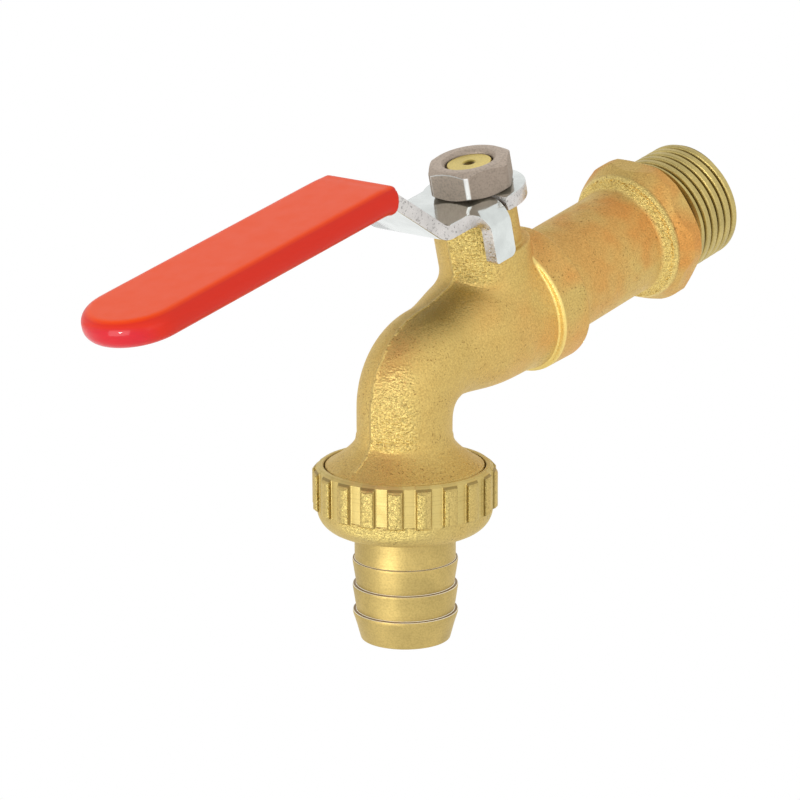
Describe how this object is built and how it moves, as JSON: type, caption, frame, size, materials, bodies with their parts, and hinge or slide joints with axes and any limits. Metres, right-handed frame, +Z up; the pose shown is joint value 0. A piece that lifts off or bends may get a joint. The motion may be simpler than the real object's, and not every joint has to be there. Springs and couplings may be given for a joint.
{
  "type": "lever ball tap",
  "caption": "Brass wall tap with a lever ball valve, a bent spout and a ribbed union nut holding a barbed hose tail.",
  "frame": {"origin": "on the inlet axis, at the wall-side face of the hexagon where the inlet thread begins", "axes": "+Y along the inlet into the wall, +Z up along the stem, X across; the lever lies along -Y when open"},
  "size_m": [0.0304, 0.135, 0.0798],
  "materials": {
    "forged_brass": "shot-blasted forging",
    "cast_brass": "satin",
    "turned_brass": "turned satin",
    "chrome_ball": "polished",
    "ptfe": "waxy",
    "rubber": "matt",
    "zinc_steel": "bright zinc plated",
    "nut_steel": "dull nickel",
    "red_vinyl": "dipped vinyl"
  },
  "bodies": {
    "tap": {"body": "forged_brass", "inlet_connector": "forged_brass", "front_seat": "ptfe", "rear_seat": "ptfe"},
    "handle": {"ball": "chrome_ball", "stem": "turned_brass", "stem_washer": "ptfe", "stem_ring_lower": "rubber", "stem_ring_upper": "rubber", "lever": "zinc_steel", "lever_sleeve": "red_vinyl", "lever_nut": "nut_steel"},
    "tail": {"hose_tail": "turned_brass", "tail_gasket": "rubber"},
    "union": {"union_nut": "cast_brass"}
  },
  "joints": [
    {"name": "lever_turn", "type": "hinge", "parent": "tap", "child": "handle", "pos_m": [0, -0.03993, 0], "axis": [0, 0, 1], "range_deg": [0, 90]},
    {"name": "tail_drop", "type": "slide", "parent": "tap", "child": "tail", "axis": [0, -0.2368, -0.9715], "range_m": [0, 0.00622]},
    {"name": "nut_turn", "type": "hinge", "parent": "tail", "child": "union", "pos_m": [0, -0.0626, 0], "axis": [0, -0.2368, -0.9715], "range_deg": [0, 1224]}
  ],
  "couplings": [
    {"joint": "tail_drop", "follows": "nut_turn", "m_per_rad": 0.00028871}
  ]
}
